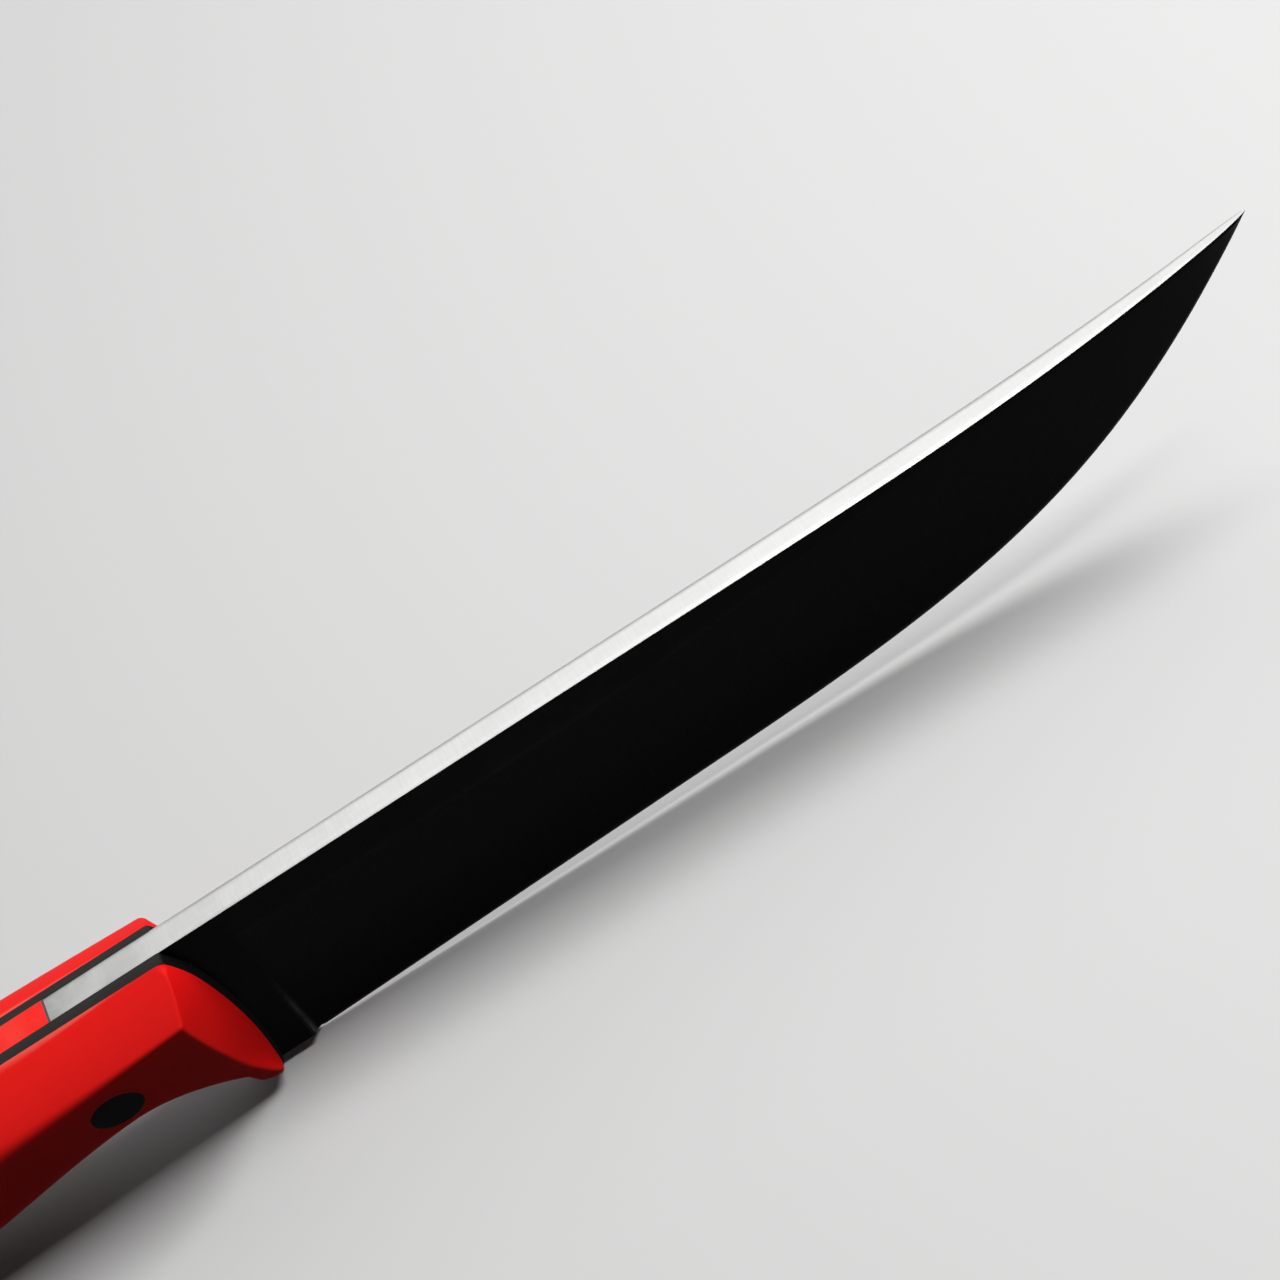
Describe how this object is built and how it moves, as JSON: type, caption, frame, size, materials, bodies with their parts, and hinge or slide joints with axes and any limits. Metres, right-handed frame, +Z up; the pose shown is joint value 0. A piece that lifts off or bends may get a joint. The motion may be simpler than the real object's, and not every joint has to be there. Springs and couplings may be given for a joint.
{
  "type": "pchak kitchen knife",
  "caption": "Fixed-blade pchak kitchen knife: upswept steel blade with a bare spine, faceted red handle scales on black liners, pinned round the tang.",
  "frame": {"origin": "under the middle of the knife, on the mid-plane, level with its lowest point", "axes": "+X along the blade to the tip, +Y to the left side, +Z up from the cutting edge to the spine"},
  "size_m": [0.2966, 0.024, 0.0412],
  "materials": {
    "blade_steel": "near-black flats, bare satin spine",
    "red_laminate": "sanded fibre laminate",
    "black_liner": "sanded fibre laminate",
    "black_pin": "sanded flush"
  },
  "bodies": {
    "root": {"blade": "blade_steel", "tang_frame": "red_laminate", "liner_right": "black_liner", "liner_left": "black_liner", "scale_right": "red_laminate", "scale_left": "red_laminate", "front_pin": "black_pin", "rear_pin": "black_pin"}
  },
  "joints": []
}
